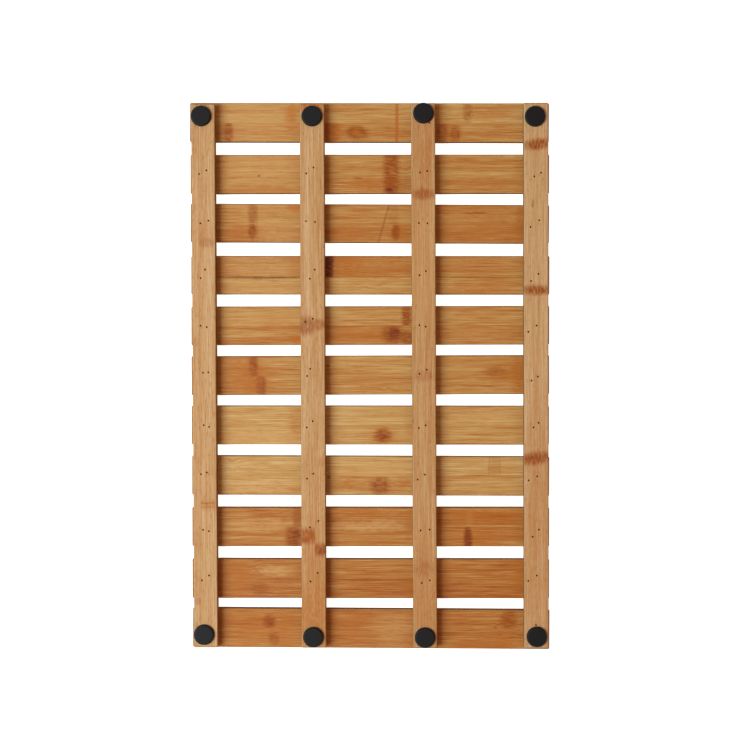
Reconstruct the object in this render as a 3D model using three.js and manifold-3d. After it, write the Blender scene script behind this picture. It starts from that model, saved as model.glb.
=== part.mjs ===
import * as THREE from "three";
import { mergeVertices } from "three/addons/utils/BufferGeometryUtils.js";
import Module from "manifold-3d";

// Bamboo bath mat, shown from underneath: eleven slats lie side by side with open gaps between them,
// four rails run across all of them, and a rubber foot sits on each end of each rail.
// Two brads hold each crossing, and their heads sit in small holes in the rails.
// Sizes are in millimetres. X runs along the slats, Y along the rails and Z up through the thickness.
// The mat lies on its walking face, so the underside with its rails and feet looks up.

// Driving dimensions
const slatLength = 400.9;
const slatThickness = 9;
const slatEase = 1.5; // rounding of the slats' long and short edges
const railLength = 606;
const railMiddleY = 0.1; // the rails stop about 2 mm short of the outer slats' edges
const railThickness = 11;
const railEase = 1.2;
const cornerRound = 0.8; // rounding of a board's upright corners
const frameLean = 0.12; // degrees that the whole frame leans to the left
const jointGap = 0.3; // left between pieces that are fixed on each other
const footRadius = 11.5;
const footHeight = 3;
const footSole = 9.6; // radius of the foot's flat sole
const footSkirt = 0.9; // height of the foot's upright side
const bradHoleRadius = 0.8;
const bradHoleDepth = 1.6;

// How finely the round shapes are divided
const easeSteps = 3;
const cornerSteps = 2;
const footSides = 32;
const shoulderSteps = 4;
const holeSides = 8;

const slatColour = 0xba8348;
const railColour = 0xc1955f;
const rubberColour = 0x262526;
const bambooRoughness = 0.5;
const rubberRoughness = 0.85;

// Slats from the mat's far end to its near end: the middle's X off the frame's leaning middle line,
// the middle's Y, the width and the turn in degrees.
// They were laid by eye, so their ends are uneven and the gaps between them run from about 12 to 14 mm.
const slats = [
  { x: -0.5, y: 283.5, width: 43.8, turn: -0.3 },
  { x: -0.3, y: 226.1, width: 43.6, turn: -0.12 },
  { x: -0.4, y: 171.0, width: 43.1, turn: -0.38 },
  { x: -0.1, y: 113.4, width: 43.2, turn: -0.14 },
  { x: -0.3, y: 57.1, width: 43.5, turn: 0.05 },
  { x: -0.4, y: 1.6, width: 43.9, turn: 0.16 },
  { x: -0.6, y: -54.5, width: 43.8, turn: -0.07 },
  { x: -0.4, y: -111.2, width: 44.4, turn: -0.18 },
  { x: -0.5, y: -168.7, width: 44.3, turn: 0.03 },
  { x: -0.6, y: -226.9, width: 44.6, turn: 0.01 },
  { x: -0.3, y: -283.2, width: 44.5, turn: -0.24 },
];

// Rails from left to right: the middle's X, the width and the turn in degrees.
const rails = [
  { x: -184.6, width: 26.6, turn: 0.15 },
  { x: -63.6, width: 27.5, turn: 0.12 },
  { x: 60.0, width: 26.9, turn: 0.22 },
  { x: 184.4, width: 27.4, turn: 0.12 },
];

// Feet: the rail that each is stuck to and its middle.
const feet = [
  { rail: 1, end: "far", x: -187.4, y: 289.5 },
  { rail: 2, end: "far", x: -64.2, y: 289.0 },
  { rail: 3, end: "far", x: 59.3, y: 291.8 },
  { rail: 4, end: "far", x: 182.8, y: 287.8 },
  { rail: 1, end: "near", x: -185.8, y: -288.1 },
  { rail: 2, end: "near", x: -63.6, y: -290.6 },
  { rail: 3, end: "near", x: 61.0, y: -290.9 },
  { rail: 4, end: "near", x: 185.4, y: -289.7 },
];

// Brad holes of each crossing: distances right of the rail's middle line and beyond the slat's.
// At the mat's two ends the feet cover the brads, apart from one on rail 3 and one on rail 4.
const brads = [
  { slat: 1, rail: 3, holes: [[7, -2]] },
  { slat: 2, rail: 1, holes: [[-4.5, -1], [3.5, 3]] },
  { slat: 2, rail: 2, holes: [[-6.5, -0.5], [1.5, 6]] },
  { slat: 2, rail: 3, holes: [[-3.5, 0.5], [4.5, 2]] },
  { slat: 2, rail: 4, holes: [[-2, -4], [5.5, 0]] },
  { slat: 3, rail: 1, holes: [[-3.5, -1.5], [5.5, 1.5]] },
  { slat: 3, rail: 2, holes: [[-7, 1.5], [3, 0.5]] },
  { slat: 3, rail: 3, holes: [[-5, 0], [4.5, -0.5]] },
  { slat: 3, rail: 4, holes: [[-6, -4], [3.5, 3.5]] },
  { slat: 4, rail: 1, holes: [[-3.5, -4], [1.5, 5.5]] },
  { slat: 4, rail: 2, holes: [[-3, -4.5], [2.5, 5.5]] },
  { slat: 4, rail: 3, holes: [[-4.5, -0.5], [2.5, 4]] },
  { slat: 4, rail: 4, holes: [[-5.5, -7], [2.5, 1]] },
  { slat: 5, rail: 1, holes: [[-4, 0], [3, -1.5]] },
  { slat: 5, rail: 2, holes: [[-8.5, 4], [0, 7.5]] },
  { slat: 5, rail: 3, holes: [[-5, 0], [2, -1.5]] },
  { slat: 5, rail: 4, holes: [[-8.5, -7.5], [0.5, -0.5]] },
  { slat: 6, rail: 1, holes: [[-1.5, 3.5], [4.5, 4]] },
  { slat: 6, rail: 2, holes: [[-6.5, -0.5], [-3, 7.5]] },
  { slat: 6, rail: 3, holes: [[-5, 1.5], [3, 6]] },
  { slat: 6, rail: 4, holes: [[-5, -6.5], [2, -2]] },
  { slat: 7, rail: 1, holes: [[-1, 0.5], [5, -1.5]] },
  { slat: 7, rail: 2, holes: [[-7, -2], [-0.5, 5]] },
  { slat: 7, rail: 3, holes: [[-6, -2.5], [1.5, 0.5]] },
  { slat: 7, rail: 4, holes: [[-3, -1.5], [2.5, 3.5]] },
  { slat: 8, rail: 1, holes: [[-4.5, 2], [2, 4]] },
  { slat: 8, rail: 2, holes: [[-7, -2.5], [0, 3]] },
  { slat: 8, rail: 3, holes: [[-7.5, -3], [0.5, 2.5]] },
  { slat: 8, rail: 4, holes: [[-8.5, -3.5], [1, 1]] },
  { slat: 9, rail: 1, holes: [[-2.5, -2], [4, -3.5]] },
  { slat: 9, rail: 2, holes: [[-4, 1], [5.5, 8]] },
  { slat: 9, rail: 3, holes: [[-4.5, -2.5], [5.5, -1.5]] },
  { slat: 9, rail: 4, holes: [[-4, -9.5], [3, -1.5]] },
  { slat: 10, rail: 1, holes: [[-4, -0.5], [4, 5]] },
  { slat: 10, rail: 2, holes: [[-3.5, -1.5], [4.5, 8]] },
  { slat: 10, rail: 3, holes: [[-3.5, -3], [5.5, 0]] },
  { slat: 10, rail: 4, holes: [[-9, -0.5], [0.5, 5.5]] },
  { slat: 11, rail: 4, holes: [[-0.5, 7.5]] },
];

const radians = THREE.MathUtils.degToRad;
const slope = (turn) => Math.tan(radians(turn));
const railBottom = slatThickness + jointGap;
const railTop = railBottom + railThickness;
const footBottom = railTop + jointGap;

// A board with every edge eased, its length along X and its bottom face at Z = 0.
function easedBoard(length, width, thickness, ease) {
  const halfLength = length / 2 - ease;
  const halfWidth = width / 2 - ease;
  const quarter = Math.PI / 2;
  const plan = new THREE.Shape();
  const corners = [[1, 1], [-1, 1], [-1, -1], [1, -1]];
  corners.forEach(([sideX, sideY], index) => {
    const middleX = sideX * (halfLength - cornerRound);
    const middleY = sideY * (halfWidth - cornerRound);
    plan.absarc(middleX, middleY, cornerRound, index * quarter, (index + 1) * quarter, false);
  });
  plan.closePath();
  const board = new THREE.ExtrudeGeometry(plan, {
    depth: thickness - 2 * ease,
    curveSegments: cornerSteps,
    bevelThickness: ease,
    bevelSize: ease,
    bevelSegments: easeSteps,
  });
  return board.translate(0, 0, ease);
}

// A rubber foot with an upright skirt, a rounded shoulder and a flat sole that looks up.
function rubberFoot() {
  const profile = [new THREE.Vector2(0, 0), new THREE.Vector2(footRadius, 0)];
  const shoulderWidth = footRadius - footSole;
  const shoulderHeight = footHeight - footSkirt;
  for (let step = 0; step <= shoulderSteps; step += 1) {
    const angle = (step / shoulderSteps) * (Math.PI / 2);
    const radius = footSole + shoulderWidth * Math.cos(angle);
    profile.push(new THREE.Vector2(radius, footSkirt + shoulderHeight * Math.sin(angle)));
  }
  profile.push(new THREE.Vector2(0, footHeight));
  return new THREE.LatheGeometry(profile, footSides).rotateX(Math.PI / 2);
}

// The middle of a slat under a rail, and of a rail over a slat, at their crossing.
function crossing(slat, rail) {
  const y = slat.y + rail.x * slope(slat.turn);
  const x = rail.x - y * slope(rail.turn);
  return [x, y];
}

const wasm = await Module();
wasm.setup();

// Takes a three.js geometry into the solid library and back again, for the cuts.
function toSolid(geometry) {
  const bare = geometry.clone();
  bare.deleteAttribute("normal");
  bare.deleteAttribute("uv");
  const merged = mergeVertices(bare, 1e-4);
  return new wasm.Manifold(new wasm.Mesh({
    numProp: 3,
    vertProperties: new Float32Array(merged.attributes.position.array),
    triVerts: new Uint32Array(merged.index.array),
  }));
}

function toGeometry(solid) {
  const mesh = solid.getMesh();
  const geometry = new THREE.BufferGeometry();
  geometry.setAttribute("position", new THREE.BufferAttribute(mesh.vertProperties, 3));
  geometry.setIndex(new THREE.BufferAttribute(mesh.triVerts, 1));
  geometry.computeVertexNormals();
  return geometry;
}

// A rail in its place over the slats, with the brad holes sunk into its upper face.
function drilledRail(rail, number) {
  const board = easedBoard(railLength, rail.width, railThickness, railEase);
  board.rotateZ(Math.PI / 2 + radians(rail.turn));
  board.translate(rail.x - railMiddleY * slope(rail.turn), railMiddleY, railBottom);
  let solid = toSolid(board);
  for (const { slat, holes } of brads.filter((brad) => brad.rail === number)) {
    const [crossingX, crossingY] = crossing(slats[slat - 1], rail);
    for (const [right, beyond] of holes) {
      const hole = new THREE.CylinderGeometry(bradHoleRadius, bradHoleRadius, 2 * bradHoleDepth, holeSides);
      hole.rotateX(Math.PI / 2);
      hole.translate(crossingX + right, crossingY + beyond, railTop);
      solid = solid.subtract(toSolid(hole));
    }
  }
  return toGeometry(solid);
}

function bamboo(colour) {
  return new THREE.MeshStandardMaterial({ color: colour, roughness: bambooRoughness, metalness: 0 });
}

const mat = new THREE.Group();
mat.name = "bamboo_mat";

slats.forEach((slat, index) => {
  const board = easedBoard(slatLength, slat.width, slatThickness, slatEase);
  const mesh = new THREE.Mesh(board, bamboo(slatColour));
  mesh.name = `slat_${index + 1}`;
  mesh.position.set(slat.x - slat.y * slope(frameLean), slat.y, 0);
  mesh.rotation.z = radians(slat.turn);
  mat.add(mesh);
});

rails.forEach((rail, index) => {
  const mesh = new THREE.Mesh(drilledRail(rail, index + 1), bamboo(railColour));
  mesh.name = `rail_${index + 1}`;
  mat.add(mesh);
});

feet.forEach((foot) => {
  const rubber = new THREE.MeshStandardMaterial({ color: rubberColour, roughness: rubberRoughness, metalness: 0 });
  const mesh = new THREE.Mesh(rubberFoot(), rubber);
  mesh.name = `foot_${foot.end}_${foot.rail}`;
  mesh.position.set(foot.x, foot.y, footBottom);
  mat.add(mesh);
});

// The origin is the middle of the mat's footprint, on the surface that it lies on.
mat.updateMatrixWorld(true);
const middle = new THREE.Box3().setFromObject(mat, true).getCenter(new THREE.Vector3());
mat.position.set(-middle.x, -middle.y, 0);

export default mat;
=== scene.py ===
import math

import bmesh
import bpy
from mathutils import Matrix, Vector, noise


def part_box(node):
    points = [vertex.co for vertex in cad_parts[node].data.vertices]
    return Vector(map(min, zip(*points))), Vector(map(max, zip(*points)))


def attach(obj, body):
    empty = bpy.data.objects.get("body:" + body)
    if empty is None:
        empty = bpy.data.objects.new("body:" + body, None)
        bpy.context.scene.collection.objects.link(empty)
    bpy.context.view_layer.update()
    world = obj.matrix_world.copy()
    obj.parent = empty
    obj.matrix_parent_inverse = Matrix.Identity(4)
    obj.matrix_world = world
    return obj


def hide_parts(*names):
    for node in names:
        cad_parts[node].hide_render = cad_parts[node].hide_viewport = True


# Bamboo bath mat seen from underneath: eleven slats, four rails across them, eight rubber feet
# and the steel brads that hold each crossing. Blender's unit is the metre, so mm turns sizes into it.
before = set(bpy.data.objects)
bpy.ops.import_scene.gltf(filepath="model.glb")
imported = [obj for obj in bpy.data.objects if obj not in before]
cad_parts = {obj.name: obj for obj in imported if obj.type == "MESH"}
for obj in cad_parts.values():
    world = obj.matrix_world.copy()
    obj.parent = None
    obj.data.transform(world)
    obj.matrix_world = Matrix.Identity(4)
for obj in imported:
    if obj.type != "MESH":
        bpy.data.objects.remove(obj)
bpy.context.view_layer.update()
mm = 0.001
print("frame loaded,", len(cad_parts), "pieces")


def linear(hexText):  # an sRGB hex value as the linear colour that a socket takes
    shades = [int(hexText[i:i + 2], 16) / 255 for i in (0, 2, 4)]
    return [s / 12.92 if s <= 0.04045 else ((s + 0.055) / 1.055) ** 2.4 for s in shades] + [1]


def addNode(tree, kind, inputs=None, **settings):  # adds a node with its settings and links
    node = tree.nodes.new("ShaderNode" + kind)
    for setting, value in settings.items():
        setattr(node, setting, value)
    for socket, value in (inputs or {}).items():
        if isinstance(value, bpy.types.Node):
            value = value.outputs[0]
        if isinstance(value, bpy.types.NodeSocket):
            tree.links.new(value, node.inputs[socket])
        else:
            node.inputs[socket].default_value = value
    return node


def addMath(tree, operation, *values):
    return addNode(tree, "Math", dict(enumerate(values)), operation=operation)


def newMaterial(name):
    material = bpy.data.materials.new(name)
    material.use_nodes = True
    material.node_tree.nodes.clear()
    return material


def finishMaterial(tree, shader):
    addNode(tree, "OutputMaterial", {"Surface": shader})


def newPiece(name, mesh, material, nodes=()):  # a piece in the scene that rides on the mat
    piece = bpy.data.objects.new(name, mesh)
    bpy.context.scene.collection.objects.link(piece)
    mesh.materials.append(material)
    if nodes:
        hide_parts(*nodes)
    return piece


# Camera: straight over the mat, turned by about a degree
cameraSet = {
    "place": (0.0314, 0.03323, 1.600),
    "turn": (-1.137, 0.924, -0.056),  # degrees
    "lens": 68.23,  # mm, on a 36 mm sensor
}

camera = bpy.data.objects.new("camera", bpy.data.cameras.new("camera"))
bpy.context.scene.collection.objects.link(camera)
camera.location = cameraSet["place"]
camera.rotation_euler = [math.radians(angle) for angle in cameraSet["turn"]]
camera.data.lens = cameraSet["lens"]
camera.data.sensor_width = 36
camera.data.clip_end = 50
bpy.context.scene.camera = camera
bpy.context.scene.view_settings.view_transform = "Standard"
print("camera placed")


# Bamboo
# Flat-pressed carbonised bamboo strips, planed and thinly oiled: satin, warm tan to orange brown, with
# fine fibres along each strip and a reddish brown band across it wherever the cane had a node.
bambooFinish = {
    "ior": 1.45,
    "sheen": 0.35,  # a thin coat of oil leaves little of it
    "roughness": 0.56,
    "roughnessSpread": 0.06,  # from fibre to fibre
    "bump": 0.04,  # mm
    "sway": 0.5,  # mm that the fibres wander off their line
    "swaySize": (160, 24),  # mm along and across the board, as for all sizes of a pattern here
    "curl": 4.5,  # mm that fibres swirl beside a node
    "curlSize": (13, 8),
    "curlSoft": 0.6,  # how soft a swirl's edge is against its half size
    "seamWidth": 0.5,  # mm, glue line between two strips
    "seamEdge": 0.2,  # mm over which one strip's tone turns into the other's
    "stripsApart": 500,  # mm between the strips' places in the grain, so that no fibre crosses the seam
    "edgeSize": (12, 1.6),  # fibres that reach over a mark's edge
    "bendSize": (9, 7),  # unevenness of a mark's outline
    "breakSize": (7, 1.1),  # fibres that a mark leaves out
    "sideShadeEdge": (1.5, 0.9),  # mm over which the painted shade on a board's ends and sides sets in
    "sawnSkin": 0.05,  # mm at the very ends and sides that are in full painted shade
}

# What a mark on the bamboo looks like: its colour, how soft its edge is against its half size, how much
# the fibres break it up, and how many mm single fibres reach over its edge.
markKinds = {
    "node": ("9a4a00", 0.5, 0.4, 1.5),
    "scar": ("964600", 0.4, 0.3, 0.9),
    "line": ("b85a00", 0.4, 0.3, 0.7),
    "knot": ("6c1c00", 0.5, 0.35, 1.3),
    "orange": ("be660a", 0.6, 0.5, 4),
    # blush is mostly the bamboo's own reddish tone; where it lies on a slat along a rail's side it is
    # painted light, and in one place painted shade
    "blushAndPaintedLight": ("b56719", 0.75, 0.45, 5),
    "pale": ("d6a769", 0.75, 0.4, 5),
    "stain": ("7c4c14", 0.5, 0.3, 0.8),
    "fleck": ("762800", 0.5, 0.1, 0.8),
}

# Each layer of the grain is its length and width in mm, and how far it moves the tone. Fibre bundles
# are drawn twice as wide as they are, because finer ones wouldn't show.
slatLook = {
    "tones": [(0, "8c4612"), (0.22, "a95d22"), (0.42, "b77330"), (0.62, "c18d4b"), (0.82, "cba161"),
              (1, "dab67d")],
    "fibre": (30, 0.85, 0.24),
    "streak": (180, 1.7, 0.13),
    "drift": (220, 9, 0.12),
    "dash": (8, 0.8, 0.1),
    "sawn": "6a5240",  # painted shade on the slats' ends and sides: darker, greyer and with no sheen
}
railLook = {
    "tones": [(0, "985a2a"), (0.25, "b0733c"), (0.5, "be8a54"), (0.75, "ca9f6c"), (1, "dab88c")],
    "fibre": (40, 0.8, 0.23),
    "streak": (200, 1.7, 0.1),
    "drift": (260, 7, 0.1),
    "dash": (6, 0.8, 0.24),
    # painted shade on the rails' ends and sides, lighter than on the slats
    "sawn": "86684a",
}

# Each slat is two strips side by side, and the far one lies towards +Y. Tones run from 0, dark and red,
# to 1, pale. The seam between the strips is in mm from the board's middle, and line is how much darker
# its glue is. A mark is its kind, strip, middle along and across, half length and half width in mm,
# strength and lean in degrees.
# Full-width blushes along a rail's left side, near -82, 44 and 168 mm, are painted light: the warm glow that
# the rail's lit side throws onto the slat.
slatBoards = {
    1: {"seam": -1, "line": 0.12, "far": 0.66, "near": 0.54, "marks": [
        ("node", "near", -157, -11, 5, 14, 0.9, 0), ("orange", "far", -87, 9, 6, 11, 0.6, 0),
        ("orange", "near", -86, -6.5, 8, 1.6, 0.7, 0), ("blushAndPaintedLight", "near", -108, -13, 14, 3, 0.2, 0),
        # painted light: the blush at -80, beside rail 2's lit side
        ("blushAndPaintedLight", "both", -80, 3, 9, 20, 0.2, 0), ("node", "near", -14, -11.5, 12, 7.5, 1, 0),
        # painted shade: the blush at -40 and the node at -44 on the near strip make rail 2's shadow darker
        # and redder
        ("orange", "near", -14, -11.5, 5, 3, 0.8, 0), ("blushAndPaintedLight", "near", -40, -11, 12, 14, 1, 0),
        ("node", "near", -44, -11, 9, 14, 0.4, 0), ("line", "both", 31, 0, 1.8, 60, 0.75, 0),
        ("curl", "far", 110, 12, 9, 12, 0.8, 0), ("node", "far", 110, 12, 5, 12, 0.55, 0),
        ("scar", "far", 111, 9, 4, 0.6, 0.6, 50), ("scar", "far", 111, 9, 4, 0.6, 0.6, -50),
        ("node", "near", 96, -12, 6, 9, 0.8, 0), ("node", "near", 82, -11, 6, 12, 0.7, 0),
        ("scar", "near", 99.5, -14, 0.9, 6, 0.6, 0), ("blushAndPaintedLight", "near", 85, -11, 12, 10, 0.6, 0),
        ("blushAndPaintedLight", "far", 140, 12, 30, 6, 0.5, 0), ("pale", "both", -122, 0, 45, 24, 0.4, 0)]},
    2: {"seam": -2, "line": 0.04, "far": 0.62, "near": 0.57, "marks": [
        ("curl", "both", 36, 0, 16, 22, 0.8, 0), ("curl", "both", -15, 10, 25, 12, 0.3, 0),
        # painted light: the blushes at -82 and 168, beside the lit sides of rails 2 and 4
        ("blushAndPaintedLight", "both", -82, 8, 8, 14, 0.2, 0), ("blushAndPaintedLight", "both", -120, -17, 50, 4, 0.7, 0),
        ("fleck", "both", -123.5, -2, 1.6, 1.2, 0.6, 0), ("node", "both", -13, -4.5, 5, 1.2, 0.8, 0),
        ("blushAndPaintedLight", "both", 2, -12, 22, 7, 0.7, 0), ("node", "both", 24.5, 0, 8.5, 60, 1, 0),
        ("node", "both", 24, -14, 7, 8, 0.6, 0), ("knot", "both", 22.5, -18, 3.6, 2.8, 1, 0),
        ("node", "both", 40, -11, 8, 12, 0.4, 0), ("blushAndPaintedLight", "both", 125, -9, 45, 5, 0.5, 0),
        ("blushAndPaintedLight", "both", 168, 0, 6, 22, 0.3, 0), ("pale", "both", -118, 6, 42, 22, 0.4, 0)]},
    3: {"seam": -1, "line": 0.03, "far": 0.55, "near": 0.5, "marks": [
        ("node", "far", -131, 10, 5, 14, 0.7, 0), ("node", "near", -131, -9, 4.5, 9, 1, 0),
        ("scar", "both", -125.5, 0, 1, 60, 0.25, 0), ("blushAndPaintedLight", "near", -140, -8, 22, 7, 0.4, 0),
        ("orange", "both", -83, 18, 9, 4, 0.8, 0), ("blushAndPaintedLight", "near", -27, -12, 22, 10, 0.6, 0),
        ("scar", "both", 16, 0, 1.3, 60, 0.5, 16), ("node", "far", 27, 10, 6, 14, 0.3, 0),
        ("node", "near", 29.5, -9, 4.5, 9, 1, 0), ("knot", "near", 29.5, -9, 3, 9, 0.15, 0),
        ("blushAndPaintedLight", "near", 35, -10, 10, 12, 0.8, 0), ("blushAndPaintedLight", "both", 120, 0, 60, 60, 0.5, 0),
        # painted light: the blush at 169, beside rail 4's lit side
        ("node", "both", 118, 12, 13, 1.5, 0.7, 0), ("blushAndPaintedLight", "both", 169, 0, 6, 22, 0.8, 0),
        ("pale", "near", -104, -13, 24, 9, 0.5, 0), ("pale", "both", -112, 1, 22, 5, 0.4, 0),
        ("pale", "far", -120, 19, 44, 4, 0.4, 0)]},
    4: {"seam": -2.3, "line": 0.12, "far": 0.54, "near": 0.62, "marks": [
        # painted light: the blushes at -83 and 168, beside the lit sides of rails 2 and 4
        ("curl", "near", 0, -11, 22, 9, 0.7, 0), ("blushAndPaintedLight", "far", -83, 10, 9, 12, 0.8, 0),
        ("blushAndPaintedLight", "far", -28, 10, 18, 14, 1, 0), ("blushAndPaintedLight", "far", 20, 10, 40, 12, 0.6, 0),
        ("knot", "far", -46, 10, 5, 40, 1, 0), ("blushAndPaintedLight", "far", 42, 8, 7, 9, 0.4, 0),
        ("blushAndPaintedLight", "far", 110, 10, 40, 12, 0.3, 0), ("blushAndPaintedLight", "both", 168, 5, 7, 16, 0.1, 0),
        ("stain", "both", -120, -2.7, 48, 1.3, 0.9, 0), ("stain", "both", 118, -2.5, 48, 1.1, 0.5, 0),
        ("stain", "far", -120, 6, 45, 0.6, 0.3, 0), ("stain", "far", -120, 13.5, 45, 0.6, 0.5, 0),
        ("pale", "far", -118, 8, 42, 14, 0.45, 0), ("pale", "near", -118, -14, 42, 7, 0.4, 0),
        ("blushAndPaintedLight", "near", 122, -15, 42, 8, 0.6, 0)]},
    5: {"seam": 0, "line": 0.06, "far": 0.62, "near": 0.5, "marks": [
        ("orange", "near", -82, -15, 6, 5, 1, 0), ("blushAndPaintedLight", "near", -120, -16, 50, 3, 0.3, 0),
        ("blushAndPaintedLight", "both", -84, -2, 14, 6, 0.4, 0), ("blushAndPaintedLight", "near", -25, -11, 24, 11, 0.6, 0),
        ("node", "far", 41, 10, 5.5, 16, 1, 0), ("node", "near", 26, -10, 12, 11, 1, 0),
        ("knot", "near", 27, -9, 6.5, 6, 0.7, 0), ("node", "near", 42, -14, 7, 8, 0.85, 0),
        ("knot", "near", 42, -14, 7, 8, 0.15, 0), ("blushAndPaintedLight", "near", 5, -12, 14, 8, 0.8, 0),
        ("blushAndPaintedLight", "both", 130, -8, 50, 3, 0.3, 0), ("pale", "far", -118, 5, 42, 6, 0.35, 0),
        ("pale", "near", 122, -9, 36, 6, 0.3, 0)]},
    6: {"seam": -1, "line": 0.05, "far": 0.58, "near": 0.58, "marks": [
        ("blushAndPaintedLight", "both", -150, 4, 22, 24, 0.7, 0), ("blushAndPaintedLight", "both", -128, -6, 16, 18, 1, 0),
        ("node", "far", -130.5, 10, 5, 16, 1, 0), ("node", "near", -122, -12, 5.5, 14, 0.85, 0),
        ("scar", "near", -119.5, -12, 1.2, 14, 0.4, 0), ("fleck", "both", -47, 11, 2, 1.5, 0.65, 0),
        ("blushAndPaintedLight", "both", 6, -15, 32, 1.5, 0.7, 0), ("node", "both", 140, 4, 12, 5, 0.6, 0),
        # painted light: the blush at 167, beside rail 4's lit side
        ("blushAndPaintedLight", "both", 152, 2, 22, 10, 0.7, 0), ("blushAndPaintedLight", "both", 167, 0, 8, 22, 1, 0)]},
    7: {"seam": 0, "line": 0.02, "far": 0.72, "near": 0.68, "marks": [
        # painted light: the blushes at -82, 44 and 167, beside the lit sides of rails 2, 3 and 4
        ("blushAndPaintedLight", "both", -82, 0, 8, 20, 0.5, 0), ("blushAndPaintedLight", "near", 14, -11, 16, 10, 0.6, 0),
        ("node", "near", 14.5, -11.5, 9, 8, 1, 0), ("knot", "near", 14, -12, 4, 4, 0.3, 0),
        ("blushAndPaintedLight", "both", 44, 0, 5, 20, 0.3, 0), ("node", "far", 122, 20, 20, 1.2, 0.5, 0),
        ("blushAndPaintedLight", "both", 167, 0, 6, 22, 0.2, 0), ("pale", "near", -120, -14, 42, 6, 0.7, 0),
        ("pale", "far", 124, 10, 36, 5, 0.5, 0)]},
    8: {"seam": -0.7, "line": 0.04, "far": 0.72, "near": 0.68, "marks": [
        ("curl", "far", -155, 10, 10, 10, 1, 0), ("fleck", "far", -152, 6, 1, 2, 0.15, 0),
        ("orange", "near", -82, -16, 8, 3, 0.5, 0), ("fleck", "both", -46.5, -2, 1.8, 1.5, 0.6, 0),
        ("blushAndPaintedLight", "near", -20, -8, 22, 7, 0.7, 0), ("blushAndPaintedLight", "near", 36, -8, 12, 6, 0.8, 0),
        ("node", "near", 11, -11, 11, 10, 0.85, 0), ("knot", "near", 8, -12, 3.5, 2.5, 0.3, 0),
        ("scar", "near", 17, -11, 1.4, 10, 0.4, 0), ("node", "near", 14, -16, 20, 1.3, 0.5, 0),
        ("node", "far", 139, 11, 6, 10, 0.3, 0), ("scar", "far", 133, 11, 0.9, 12, 0.3, 0),
        ("scar", "far", 145, 11, 0.9, 12, 0.3, 0), ("pale", "near", -120, -14, 42, 5, 0.7, 0),
        ("pale", "far", 0, 6, 42, 8, 0.5, 0)]},
    9: {"seam": 0, "line": 0.05, "far": 0.45, "near": 0.48, "marks": [
        ("node", "far", -82, 11, 5, 16, 0.6, 0), ("node", "near", -86, -11, 9, 16, 1, 0),
        ("knot", "near", -83, -11, 4, 9, 0.4, 0), ("blushAndPaintedLight", "far", 0, 16, 40, 4, 0.6, 0),
        ("pale", "both", 0, 2, 44, 5, 0.6, 0), ("blushAndPaintedLight", "near", 0, -13, 40, 7, 0.4, 0),
        # painted light: the blushes at 44 and 168, beside the lit sides of rails 3 and 4
        ("blushAndPaintedLight", "both", 44, 3, 5, 18, 0.6, 0), ("blushAndPaintedLight", "far", 130, 12, 40, 8, 0.9, 0),
        ("node", "far", 145, 12, 25, 1.2, 0.4, 0), ("node", "near", 109.5, -15, 5, 16, 1, 0),
        ("knot", "near", 109.5, -17, 4, 15, 0.6, 0), ("pale", "far", 111, 8, 4, 9, 0.15, 0),
        ("blushAndPaintedLight", "near", 124, -12, 42, 10, 0.6, 0), ("pale", "both", -118, 3, 36, 6, 0.5, 0),
        ("blushAndPaintedLight", "both", 168, 0, 6, 22, 0.3, 0)]},
    10: {"seam": 1, "line": 0.04, "far": 0.42, "near": 0.38, "marks": [
        ("curl", "far", -132, 12, 12, 10, 1, 0), ("curl", "near", -124, -12, 12, 10, 1, 0),
        ("node", "near", -124, -12, 9, 9, 0.55, 0), ("node", "near", -131, -11, 16, 1.2, 0.3, 0),
        ("node", "near", -118, -16, 9, 1.3, 0.6, 0), ("node", "far", -128, 9, 6, 1.2, 0.4, 40),
        ("blushAndPaintedLight", "both", -153, 0, 18, 20, 0.7, 0), ("pale", "far", -105, 8, 18, 6, 0.6, 0),
        # painted light: the blushes at 44 and 168, beside the lit sides of rails 3 and 4
        ("blushAndPaintedLight", "both", 44, -12, 6, 12, 0.8, 0), ("blushAndPaintedLight", "both", 168, 0, 7, 22, 0.8, 0)]},
    11: {"seam": 0, "line": 0.02, "far": 0.45, "near": 0.45, "marks": [
        ("curl", "both", -112, 0, 14, 20, 0.8, 0), ("curl", "both", 153, 0, 14, 20, 0.8, 0),
        ("blushAndPaintedLight", "both", -130, 0, 50, 30, 0.6, 0), ("node", "far", -114, 7, 7, 8, 1, 0),
        ("knot", "far", -113, 6, 3, 3, 0.25, 0), ("node", "far", -130, 10, 11, 1.3, 0.5, 0),
        ("node", "near", -109, -12, 6, 8, 0.7, 0), ("blushAndPaintedLight", "both", -25, 5, 25, 16, 0.4, 0),
        ("pale", "both", 25, 0, 20, 16, 0.4, 0), ("node", "far", 155, 10, 9, 11, 0.9, 0),
        ("fleck", "far", 140, 2, 2, 1.2, 0.4, 0), ("orange", "near", 150, -14, 10, 5, 0.5, 0),
        ("blushAndPaintedLight", "near", 125, -16, 40, 5, 0.5, 0)]},
}

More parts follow.
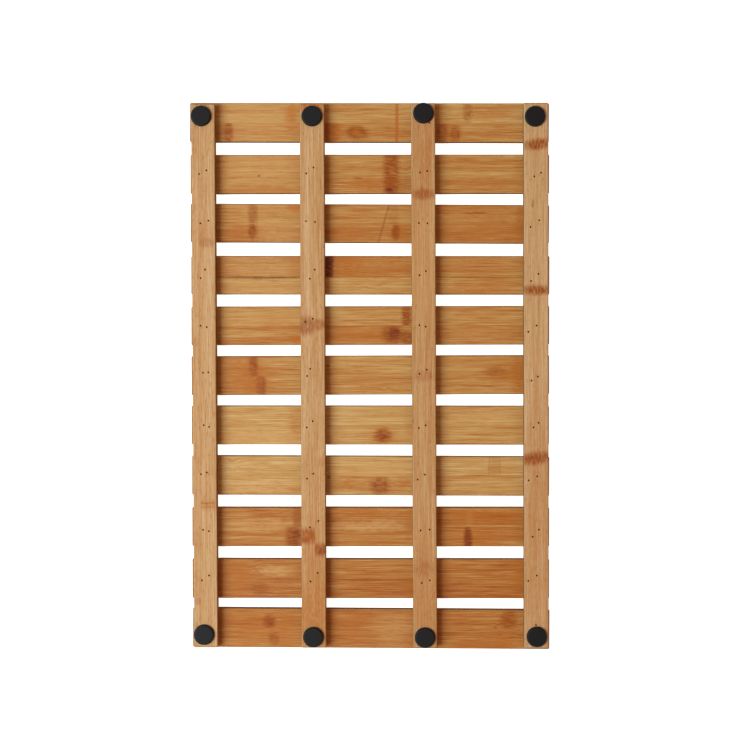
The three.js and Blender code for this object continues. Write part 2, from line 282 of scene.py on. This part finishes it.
# The rails too: along a rail is +Y, and its far strip is the one on the left. A seam at -20 lies outside
# the board, because rails 3 and 4 show only one strip.
railBoards = {
    1: {"seam": 5, "line": 0.12, "far": 0.63, "near": 0.68, "marks": [
        ("scar", "near", -145.5, -3, 0.7, 9, 0.35, 0), ("scar", "near", -141, -3, 0.7, 9, 0.6, 0),
        ("blushAndPaintedLight", "near", -143, -3, 5, 9, 0.6, 0), ("node", "near", 149, -3, 5, 9, 0.4, 0),
        ("blushAndPaintedLight", "near", 155, -2, 14, 8, 0.3, 0), ("node", "far", -251, 9, 4, 6, 0.35, 0),
        ("node", "far", 39, 10, 5, 6, 0.2, 0), ("node", "far", 262, 10, 3.5, 6, 0.15, 0),
        ("blushAndPaintedLight", "far", -92, 8, 4, 4, 0.3, 0)]},
    2: {"seam": -1.5, "line": 0.1, "far": 0.69, "near": 0.64, "marks": [
        ("blushAndPaintedLight", "both", -275, 0, 35, 14, 0.5, 0), ("node", "far", -178, 8, 8, 16, 1, 0),
        ("orange", "far", -178, 8, 6, 16, 0.3, 0), ("node", "near", -193, -8, 7, 9, 1, 0),
        ("knot", "near", -194, -10, 4, 3, 0.2, 0), ("node", "far", 57, 8, 10, 14, 0.8, 0),
        ("node", "near", 58, -7, 6, 8, 0.7, 0), ("orange", "both", 300, 2, 5, 14, 1, 0),
        ("blushAndPaintedLight", "both", -240, 0, 70, 16, 0.5, 0), ("blushAndPaintedLight", "near", -95, -8, 5, 4, 0.6, 0)]},
    3: {"seam": -20, "line": 0, "far": 0.58, "near": 0.58, "marks": [
        ("curl", "both", -214, 0, 12, 14, 0.5, 0), ("curl", "both", 1, 0, 12, 14, 0.5, 0),
        ("node", "both", -214, 1, 8, 12, 0.35, 0), ("node", "both", 1, 0, 6, 12, 0.35, 0),
        ("node", "both", 202.5, 0, 6, 12, 0.75, 0), ("blushAndPaintedLight", "both", 245, -3, 38, 6, 0.4, 0),
        ("blushAndPaintedLight", "both", -240, 0, 70, 16, 0.4, 0), ("pale", "both", 130, 0, 60, 14, 0.3, 0)]},
    4: {"seam": -20, "line": 0, "far": 0.79, "near": 0.79, "marks": [
        ("node", "both", -91, 1, 7, 17, 0.95, -8), ("scar", "both", -90, 1, 2, 14, 0.5, -8),
        ("node", "both", 96, 0, 5.5, 16, 1, 0), ("node", "both", 257, -1, 6, 15, 1, -5),
        ("node", "both", 192, 3.5, 5, 1.5, 0.55, 0), ("blushAndPaintedLight", "both", -170, 0, 140, 16, 0.35, 0)]},
}


def placeInMm(tree):  # place on the piece, in mm
    coords = addNode(tree, "TexCoord")
    return addNode(tree, "VectorMath", {0: coords.outputs["Object"], "Scale": 1 / mm}, operation="SCALE")


def bambooPattern(tree, place, size, seed, detail):  # noise stretched along the fibres
    length, width = size[:2]
    ownPart = (seed * 3.7, seed * 5.3, seed * 1.9)  # no two boards share their grain
    stretched = addNode(tree, "VectorMath", {0: place, 1: (1 / length, 1 / width, 1 / width), 2: ownPart},
                        operation="MULTIPLY_ADD")
    return addNode(tree, "TexNoise", {"Vector": stretched, "Scale": 1, "Detail": detail, "Roughness": 0.6})


def bambooWander(tree, place, size, seed, detail):  # the same noise, to either side of 0
    return addMath(tree, "SUBTRACT", bambooPattern(tree, place, size, seed, detail), 0.5)


def markMask(tree, place, mark, soft, strips):  # 1 inside a mark and 0 outside it
    strip, along, across, halfLength, halfWidth, strength, lean = mark[1:]
    through = 1000  # mm, so that a mark goes through the whole board
    inMark = addNode(tree, "Mapping", {"Vector": place, "Location": (along, across, 0),
                                       "Rotation": (0, 0, math.radians(-lean)),
                                       "Scale": (halfLength, halfWidth, through)}, vector_type="TEXTURE")
    away = addNode(tree, "VectorMath", {0: inMark}, operation="LENGTH")
    mask = addNode(tree, "MapRange", {"Value": away.outputs["Value"], "From Min": 1 + soft,
                                      "From Max": 1 - soft, "To Max": strength},
                   interpolation_type="SMOOTHSTEP")
    if strip == "both":
        return mask
    return addMath(tree, "MULTIPLY", mask, strips[strip])


def boardStrips(tree, across, seam):  # for each of the two strips, 1 on it and 0 on the other
    edge = bambooFinish["seamEdge"]
    far = addNode(tree, "MapRange", {"Value": across, "From Min": seam - edge, "From Max": seam + edge})
    return {"far": far, "near": addMath(tree, "SUBTRACT", 1, far)}


def grainPlace(tree, place, board, strips, seed):  # fibres wander a little, and swirl beside the nodes
    sway = bambooWander(tree, place, bambooFinish["swaySize"], seed + 11, 0)
    shift = addMath(tree, "MULTIPLY", sway, 2 * bambooFinish["sway"])
    swirl = bambooWander(tree, place, bambooFinish["curlSize"], seed + 17, 1)
    for mark in board["marks"]:
        if mark[0] == "curl":
            inside = markMask(tree, place, mark, bambooFinish["curlSoft"], strips)
            turned = addMath(tree, "MULTIPLY", swirl, inside)
            shift = addMath(tree, "MULTIPLY_ADD", turned, 2 * bambooFinish["curl"], shift)
    apart = addMath(tree, "MULTIPLY", strips["far"], bambooFinish["stripsApart"])
    shift = addNode(tree, "CombineXYZ", {"X": apart, "Y": shift})
    return addNode(tree, "VectorMath", {0: place, 1: shift}, operation="ADD")


def grainTone(tree, across, grain, look, board, strips, seed):  # the tone, and the fibres' own pattern
    onSeam = addMath(tree, "COMPARE", across, board["seam"], bambooFinish["seamWidth"])
    near, far = board["near"], board["far"]
    tone = addNode(tree, "MapRange", {"Value": strips["far"], "To Min": near, "To Max": far})
    tone = addMath(tree, "MULTIPLY_ADD", onSeam, -board["line"], tone)
    patterns = {}
    for part in ("drift", "streak", "fibre"):  # noise seldom leaves 0.25 to 0.75
        patterns[part] = bambooPattern(tree, grain, look[part], seed, 1)
        strength = look[part][2]
        spread = addNode(tree, "MapRange", {"Value": patterns[part], "From Min": 0.25, "From Max": 0.75,
                                            "To Min": -strength, "To Max": strength}, clamp=False)
        tone = addMath(tree, "ADD", tone, spread)
    dashes = bambooPattern(tree, grain, look["dash"], seed + 3, 0)  # dark only where the noise peaks
    dashes = addNode(tree, "MapRange", {"Value": dashes, "From Min": 0.62, "From Max": 0.74,
                                        "To Max": -look["dash"][2]})
    return addMath(tree, "ADD", tone, dashes), patterns["fibre"]


def toneColour(tree, tone, tones):
    colour = addNode(tree, "ValToRGB", {"Fac": tone})
    stops = colour.color_ramp.elements
    for index, (at, hexText) in enumerate(tones):
        stop = stops[index] if index < 2 else stops.new(at)
        stop.position = at
        stop.color = linear(hexText)
    return colour


def paintMarks(tree, colour, place, grain, board, strips, seed):  # marks, with fibres over their edges
    reach = bambooWander(tree, grain, bambooFinish["edgeSize"], seed + 5, 1)
    bend = bambooWander(tree, place, bambooFinish["bendSize"], seed + 6, 1)
    overEdges = addNode(tree, "CombineXYZ", {"X": reach, "Y": bend})
    broken = bambooPattern(tree, grain, bambooFinish["breakSize"], seed + 7, 0)
    broken = addNode(tree, "MapRange", {"Value": broken, "From Min": 0.4, "From Max": 0.55})
    washes = [mark for mark in board["marks"] if mark[0] in ("pale", "blushAndPaintedLight")]  # these lie under the rest
    others = [mark for mark in board["marks"] if mark[0] not in ("pale", "blushAndPaintedLight", "curl")]
    for mark in washes + others:
        hexText, soft, brokenUp, overEdge = markKinds[mark[0]]
        ragged = addNode(tree, "VectorMath", {0: overEdges, 1: [2 * overEdge] * 3, 2: place},
                         operation="MULTIPLY_ADD")
        inside = markMask(tree, ragged, mark, soft, strips)
        kept = addNode(tree, "MapRange", {"Value": broken, "To Min": 1 - brokenUp, "To Max": 1})
        inside = addMath(tree, "MULTIPLY", inside, kept)
        colour = addNode(tree, "MixRGB", {"Fac": inside, "Color1": colour, "Color2": linear(hexText)})
    return colour


def awayFromPaintedShade(tree, parts, size):  # 1 on a board's broad faces, down to 0 on its ends and sides, where shade is painted
    shares = []
    for direction, extent, edge in zip("XY", size, bambooFinish["sideShadeEdge"]):
        fromMiddle = addMath(tree, "ABSOLUTE", parts.outputs[direction])
        side = extent / 2 / mm
        shares.append(addNode(tree, "MapRange", {"Value": fromMiddle, "From Max": side - edge,
                                                 "From Min": side - bambooFinish["sawnSkin"]}))
    return addMath(tree, "MULTIPLY", *shares)


def bambooMaterial(name, look, board, size, seed):
    material = newMaterial(name)
    tree = material.node_tree
    place = placeInMm(tree)
    parts = addNode(tree, "SeparateXYZ", {0: place})
    across = parts.outputs["Y"]
    strips = boardStrips(tree, across, board["seam"])
    grain = grainPlace(tree, place, board, strips, seed)
    tone, fibre = grainTone(tree, across, grain, look, board, strips, seed)
    colour = paintMarks(tree, toneColour(tree, tone, look["tones"]), place, grain, board, strips, seed)
    awayFromShade = awayFromPaintedShade(tree, parts, size)
    # painted shade: the ends and sides take the darker, greyer side colour, and lose their sheen below
    colour = addNode(tree, "MixRGB", {"Fac": awayFromShade, "Color1": linear(look["sawn"]), "Color2": colour})
    sheen = addMath(tree, "MULTIPLY", awayFromShade, bambooFinish["sheen"])
    rough, uneven = bambooFinish["roughness"], bambooFinish["roughnessSpread"]
    roughness = addNode(tree, "MapRange", {"Value": fibre, "From Min": 0.3, "From Max": 0.7,
                                           "To Min": rough + uneven, "To Max": rough - uneven})
    bump = addNode(tree, "Bump", {"Height": fibre, "Strength": 1, "Distance": bambooFinish["bump"] * mm})
    shader = addNode(tree, "BsdfPrincipled", {"Base Color": colour, "Roughness": roughness, "Normal": bump,
                                              "IOR": bambooFinish["ior"], "Specular IOR Level": sheen})
    finishMaterial(tree, shader)
    return material


# Boards
boardSet = {
    "slatEase": 1.5,  # mm, rounding of the slats' edges
    "railEase": 1.2,
    "easeSteps": 5,
    "sectionStep": 5,  # mm between cross-sections
    "endSteps": 4,
    "wear": 0.18,  # mm that sanding has taken unevenly off the edges
    "wearLength": 30,  # mm from one worn place to the next
}


def boardLay(node, alongY):  # place and size of a board, from the vertices of its solid
    points = [vertex.co.copy() for vertex in node.data.vertices]
    low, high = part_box(node.name)
    axis = 1 if alongY else 0
    endReach = 8 * mm  # vertices this near an end belong to it
    ends = []
    for side in (low[axis], high[axis]):
        end = [p for p in points if abs(p[axis] - side) < endReach]
        xs, ys = [p.x for p in end], [p.y for p in end]
        ends.append(Vector(((min(xs) + max(xs)) / 2, (min(ys) + max(ys)) / 2, 0)))
    direction = ends[1] - ends[0]
    turn = math.atan2(direction.y, direction.x)
    place = Matrix.Translation((low + high) / 2) @ Matrix.Rotation(turn, 4, "Z")
    flat = [place.inverted() @ p for p in points]
    size = [max(p[i] for p in flat) - min(p[i] for p in flat) for i in range(3)]
    return place, size


def ringOf(bm, middle, radius, height, sides, stretch=1, torn=0, seed=0):  # vertices in an uneven round
    ring = []
    for side in range(sides):
        angle = 2 * math.pi * side / sides
        x, y = math.cos(angle), math.sin(angle)
        out = radius * (1 + torn * noise.noise(Vector((x * 2, y * 2, seed))))
        ring.append(bm.verts.new(middle + Vector((out * stretch * x, out * y, height))))
    return ring


def bridge(bm, rings):  # faces between each ring of vertices and the next
    faces = []
    for ring, following in zip(rings, rings[1:]):
        for i in range(len(ring)):
            j = (i + 1) % len(ring)
            faces.append(bm.faces.new((ring[i], ring[j], following[j], following[i])))
    return faces


def meshFrom(name, bm):
    bmesh.ops.recalc_face_normals(bm, faces=bm.faces)
    mesh = bpy.data.meshes.new(name)
    bm.to_mesh(mesh)
    bm.free()
    return mesh


def boardSections(length, ease):  # place of each cross-section along X, and how far it draws in
    start = []
    for step in range(boardSet["endSteps"], -1, -1):
        angle = math.pi / 2 * step / boardSet["endSteps"]
        start.append((-length / 2 + ease * (1 - math.sin(angle)), ease * (1 - math.cos(angle))))
    straight = length - 2 * ease
    count = round(straight / (boardSet["sectionStep"] * mm))
    middles = [(-straight / 2 + straight * i / count, 0) for i in range(1, count)]
    return start + middles + [(-x, inset) for x, inset in reversed(start)]


def boardMesh(name, size, ease, seed, holes=()):  # a board along X with its edges rounded, and brad holes
    length, width, thickness = size
    steps = boardSet["easeSteps"]
    sections = boardSections(length, ease)
    bm = bmesh.new()
    rings = []
    for x, inset in sections:
        ring = []
        for sideY, sideZ, start in ((1, 1, 0), (-1, 1, 90), (-1, -1, 180), (1, -1, 270)):
            alongWear = x / (boardSet["wearLength"] * mm)
            chance = noise.noise(Vector((alongWear, sideY * 3 + seed, sideZ * 5)))  # each edge has its own
            worn = boardSet["wear"] * mm * (0.5 + 0.5 * chance)
            for step in range(steps + 1):
                angle = math.radians(start + 90 * step / steps)
                radius = ease - inset - worn * abs(math.sin(2 * angle))
                ring.append(bm.verts.new((x, sideY * (width / 2 - ease) + radius * math.cos(angle),
                                          sideZ * (thickness / 2 - ease) + radius * math.sin(angle))))
        rings.append(ring)
    bridge(bm, rings)
    bm.faces.new(rings[0])
    bm.faces.new(list(reversed(rings[-1])))
    if holes:
        openTop(bm, [ring for ring, (x, inset) in zip(rings, sections) if inset == 0], holes, seed)
    return meshFrom(name, bm)


def openTop(bm, rings, holes, seed):  # lays the board's flat upper face again, around the brad holes
    left, right = boardSet["easeSteps"], boardSet["easeSteps"] + 1
    rim = [bm.edges.get((rings[end][left], rings[end][right])) for end in (0, -1)]
    for ring, following in zip(rings, rings[1:]):
        bm.faces.remove(bm.faces.get((ring[left], ring[right], following[right], following[left])))
        rim += [bm.edges.get((ring[side], following[side])) for side in (left, right)]
    inner = [bm.edges.get((ring[left], ring[right])) for ring in rings[1:-1]]
    bmesh.ops.delete(bm, geom=inner, context="EDGES")
    radius, depth = bradSet["holeRadius"] * mm, bradSet["holeDepth"] * mm
    sides, stretch, torn = bradSet["holeSides"], bradSet["holeStretch"], bradSet["holeTorn"]
    for index, middle in enumerate(holes):
        hole = [ringOf(bm, middle, radius * wide, -depth * down, sides, stretch, torn, seed + index)
                for wide, down in bradSet["holeProfile"]]
        # the hole walls and floors take the second material slot, which holds painted shade
        for face in bridge(bm, hole) + [bm.faces.new(hole[-1])]:
            face.material_index = 1
        rim += [bm.edges.get(pair) for pair in zip(hole[0], hole[0][1:] + hole[0][:1])]
    bmesh.ops.triangle_fill(bm, use_beauty=True, use_dissolve=False, edges=rim, normal=(0, 0, 1))


def smooth(piece):  # broad flat faces keep their own normals, so that only the edges look round
    piece.data.shade_smooth()
    piece.data.set_sharp_from_angle(angle=math.radians(50))
    weighted = piece.modifiers.new("weighted normals", "WEIGHTED_NORMAL")
    weighted.keep_sharp = True


for number, board in slatBoards.items():
    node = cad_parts["slat_%d" % number]
    place, size = boardLay(node, False)
    mesh = boardMesh("slatBoard%d" % number, size, boardSet["slatEase"] * mm, number)
    bamboo = bambooMaterial("carbonisedBamboo_slat%d" % number, slatLook, board, size, number)
    slat = newPiece("slatBoard_%d" % number, mesh, bamboo, [node.name])
    slat.matrix_world = place
    smooth(slat)
    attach(slat, "root")
print("slats made")


# Brads
# Steel pins driven through the rails, browned by the coating they come with: dull dark heads set
# below the surface, in holes whose rims are torn a little along the fibres.
steelFinish = {
    "colour": "703c10",
    "roughness": 0.5,
    "mottle": 2.5,  # dull patches per mm
}
bradSet = {
    "holeRadius": 0.9,  # mm
    "holeDepth": 1.6,
    "holeProfile": ((1.1, 0), (1, 0.4), (0.8, 1)),  # share of the radius, at a share of the depth
    "holeStretch": 1.15,  # the torn hole is longer along the rail
    "holeTorn": 0.25,
    "holeSides": 16,
    "headRadius": 0.65,
    "headDrop": 1.1,  # mm from the rail's face down to the head
    "headProfile": ((0.8, 0.4), (1, 0.3), (1, 0.08), (0.75, 0)),  # share of the radius, mm below the head
    "shank": 0.8,  # share of the head's radius
    "headSides": 12,
}

# Painted shade in the brad holes: dull dark brown walls and floors, darker than the bamboo around them.
holeShadeFinish = {"colour": "84480e", "roughness": 0.9}


def steelMaterial():
    material = newMaterial("coatedSteel")
    tree = material.node_tree
    rough, mottle = steelFinish["roughness"], steelFinish["mottle"]
    dull = addNode(tree, "TexNoise", {"Vector": placeInMm(tree), "Scale": mottle, "Detail": 2})
    roughness = addNode(tree, "MapRange", {"Value": dull, "To Min": rough - 0.1, "To Max": rough + 0.15})
    shader = addNode(tree, "BsdfPrincipled", {"Base Color": linear(steelFinish["colour"]), "Metallic": 1,
                                              "Roughness": roughness})
    finishMaterial(tree, shader)
    return material


def holeShadeMaterial():
    material = newMaterial("holeShadeBamboo")
    shader = addNode(material.node_tree, "BsdfPrincipled", {
        "Base Color": linear(holeShadeFinish["colour"]), "Roughness": holeShadeFinish["roughness"],
        "IOR": bambooFinish["ior"], "Specular IOR Level": bambooFinish["sheen"]})
    finishMaterial(material.node_tree, shader)
    return material


def holeMiddles(node):  # the rail's solid has its brad holes, and their floors face up below its top
    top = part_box(node.name)[1].z
    floors = []
    for face in node.data.polygons:
        if face.normal.z > 0.9 and 1 * mm < top - face.center.z < 3 * mm:
            floors.append([node.data.vertices[i].co for i in face.vertices])
    groups = []
    for corners in floors:
        for group in groups:
            if (group[0] - corners[0]).length < 2.5 * mm:  # no two holes are as close as this
                group.extend(corners)
                break
        else:
            groups.append(list(corners))
    middles = []
    for group in groups:
        xs, ys = [p.x for p in group], [p.y for p in group]
        middles.append(Vector(((min(xs) + max(xs)) / 2, (min(ys) + max(ys)) / 2, top)))
    return sorted(middles, key=lambda p: p.y)


def bradMesh(name, middles):
    radius, drop = bradSet["headRadius"] * mm, bradSet["headDrop"] * mm
    profile = [(bradSet["shank"], -bradSet["holeDepth"] * mm)]
    profile += [(wide, -drop - below * mm) for wide, below in bradSet["headProfile"]]
    bm = bmesh.new()
    for middle in middles:
        rings = [ringOf(bm, middle, radius * wide, height, bradSet["headSides"]) for wide, height in profile]
        bridge(bm, rings)
        bm.faces.new(rings[0])
        bm.faces.new(rings[-1])
    return meshFrom(name, bm)


steel, holeShade = steelMaterial(), holeShadeMaterial()
for number, board in railBoards.items():
    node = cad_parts["rail_%d" % number]
    place, size = boardLay(node, True)
    middles = [place.inverted() @ middle for middle in holeMiddles(node)]
    seed = number + 20  # not a slat's
    mesh = boardMesh("railBoard%d" % number, size, boardSet["railEase"] * mm, seed, middles)
    bamboo = bambooMaterial("sidePressedBamboo_rail%d" % number, railLook, board, size, seed)
    rail = newPiece("railBoard_%d" % number, mesh, bamboo, [node.name])
    # the holes' walls and floors get the painted shade
    mesh.materials.append(holeShade)
    rail.matrix_world = place
    smooth(rail)
    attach(rail, "root")
    brads = newPiece("brads_%d" % number, bradMesh("brads%d" % number, middles), steel)
    brads.matrix_world = place
    brads.data.shade_smooth()
    brads.data.set_sharp_from_angle(angle=math.radians(40))
    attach(brads, "root")
    print("rail", number, "has", len(middles), "brads")
print("rails made")


# Rubber feet
# Moulded black rubber: near black and dull, with a rounded shoulder that catches a little light.
rubberFinish = {
    "colour": "0b0b0e",
    "roughness": 0.6,
    "ior": 1.5,
    "sheen": 0.3,
    "grit": 1.6,  # grains per mm
    "bump": 0.1,  # mm
}
footSet = {
    "radius": 11.5,  # mm
    "sole": 9.6,
    "skirt": 0.9,
    "sides": 72,
    "shoulderSteps": 8,
}


def rubberMaterial():
    material = newMaterial("mouldedRubber")
    tree = material.node_tree
    grit = addNode(tree, "TexNoise", {"Vector": placeInMm(tree), "Scale": rubberFinish["grit"], "Detail": 3})
    bump = addNode(tree, "Bump", {"Height": grit, "Strength": 0.5, "Distance": rubberFinish["bump"] * mm})
    shader = addNode(tree, "BsdfPrincipled", {
        "Base Color": linear(rubberFinish["colour"]), "Roughness": rubberFinish["roughness"], "Normal": bump,
        "IOR": rubberFinish["ior"], "Specular IOR Level": rubberFinish["sheen"]})
    finishMaterial(tree, shader)
    return material


def footMesh(name, height):  # half of the foot's outline, turned round its middle line
    radius, sole, skirt = footSet["radius"] * mm, footSet["sole"] * mm, footSet["skirt"] * mm
    profile = [(0, 0), (radius, 0)]
    for step in range(footSet["shoulderSteps"] + 1):
        angle = math.pi / 2 * step / footSet["shoulderSteps"]
        across = sole + (radius - sole) * math.cos(angle)
        profile.append((across, skirt + (height - skirt) * math.sin(angle)))
    profile.append((0, height))
    bm = bmesh.new()
    line = [bm.verts.new((r, 0, z)) for r, z in profile]
    edges = [bm.edges.new(pair) for pair in zip(line, line[1:])]
    bmesh.ops.spin(bm, geom=line + edges, axis=(0, 0, 1), cent=(0, 0, 0), angle=2 * math.pi,
                   steps=footSet["sides"], use_duplicate=False)
    bmesh.ops.remove_doubles(bm, verts=bm.verts, dist=0.001 * mm)
    return meshFrom(name, bm)


rubber = rubberMaterial()
for end in ("far", "near"):
    for number in range(1, 5):
        nodeName = "foot_%s_%d" % (end, number)
        low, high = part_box(nodeName)
        foot = newPiece("rubberFoot_%s_%d" % (end, number), footMesh("rubberFoot", high.z - low.z), rubber,
                        [nodeName])
        foot.location = ((low.x + high.x) / 2, (low.y + high.y) / 2, low.z)
        smooth(foot)
        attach(foot, "root")
print("feet made")


# Floor and light
# Pale paper that glows a little, so that it looks white between the slats.
floorSet = {
    "size": 12,  # m
    "drop": 0.1,  # mm below the mat
    "colour": "f4f3f1",
    "roughness": 0.9,
    "glow": 0.9,
}
lightSet = {
    "keyPlace": (-1.41, -0.30, 1.69),
    "keySize": 1.5,
    "keyPower": 53,
    "keyColour": "e0f6ff",  # daylight
    "roomStrength": 0.42,
    "roomColour": "ffcdac",  # light thrown back by warm walls
}

floorMesh = bpy.data.meshes.new("floor")
half = floorSet["size"] / 2
floorMesh.from_pydata([(-half, -half, 0), (half, -half, 0), (half, half, 0), (-half, half, 0)], [],
                      [(0, 1, 2, 3)])
floor = bpy.data.objects.new("floor", floorMesh)
bpy.context.scene.collection.objects.link(floor)
floor.location.z = -floorSet["drop"] * mm
paper = newMaterial("palePaper")
paperShader = addNode(paper.node_tree, "BsdfPrincipled", {
    "Base Color": linear(floorSet["colour"]), "Roughness": floorSet["roughness"],
    "Emission Color": (1, 1, 1, 1), "Emission Strength": floorSet["glow"]})
finishMaterial(paper.node_tree, paperShader)
floorMesh.materials.append(paper)

key = bpy.data.objects.new("softbox", bpy.data.lights.new("softbox", "AREA"))
bpy.context.scene.collection.objects.link(key)
key.location = lightSet["keyPlace"]
key.rotation_euler = (-key.location).to_track_quat("-Z", "Y").to_euler()
key.data.shape = "SQUARE"
key.data.size = lightSet["keySize"]
key.data.energy = lightSet["keyPower"]
key.data.color = linear(lightSet["keyColour"])[:3]
room = bpy.data.worlds.new("room")
room.use_nodes = True
room.node_tree.nodes["Background"].inputs["Color"].default_value = linear(lightSet["roomColour"])
room.node_tree.nodes["Background"].inputs["Strength"].default_value = lightSet["roomStrength"]
bpy.context.scene.world = room
print("floor and light made")
